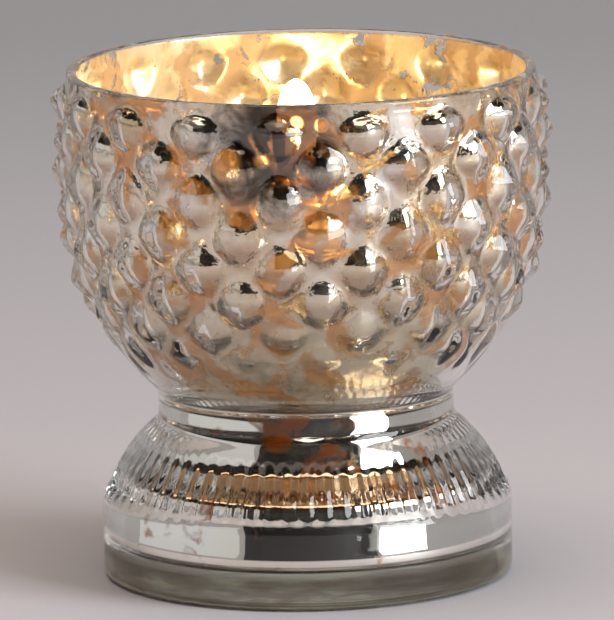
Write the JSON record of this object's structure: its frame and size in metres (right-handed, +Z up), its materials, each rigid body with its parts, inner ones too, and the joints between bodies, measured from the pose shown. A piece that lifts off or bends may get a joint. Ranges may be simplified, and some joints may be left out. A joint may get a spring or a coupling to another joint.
{
  "type": "tealight holder",
  "caption": "Round hobnail glass tealight holder with a short neck, a hollow bell foot and a lift-out tealight candle seated in its taper.",
  "frame": {"origin": "centre of the foot's underside, on the surface the holder stands on", "axes": "+Z up along the holder's axis of turning; -Y is the front; +X is to the right seen from the front"},
  "size_m": [0.0688, 0.0686, 0.07],
  "materials": {
    "silvered_glass": "mercury glass: clear mould-blown glass, mottled silver lining on the inside",
    "cup_aluminium": "bright pressed foil",
    "candle_wax": "white paraffin wax, translucent",
    "wick_cotton": "braided cotton, charred at the tip",
    "sustainer_steel": "tinned sheet"
  },
  "bodies": {
    "holder": {"glass_holder": "silvered_glass"},
    "tealight": {"tealight_cup": "cup_aluminium", "tealight_wax": "candle_wax", "wick": "wick_cotton", "wick_sustainer": "sustainer_steel"}
  },
  "joints": [
    {"name": "tealight_lift", "type": "slide", "parent": "holder", "child": "tealight", "axis": [0, 0, 1], "range_m": [0, 0.06]}
  ]
}
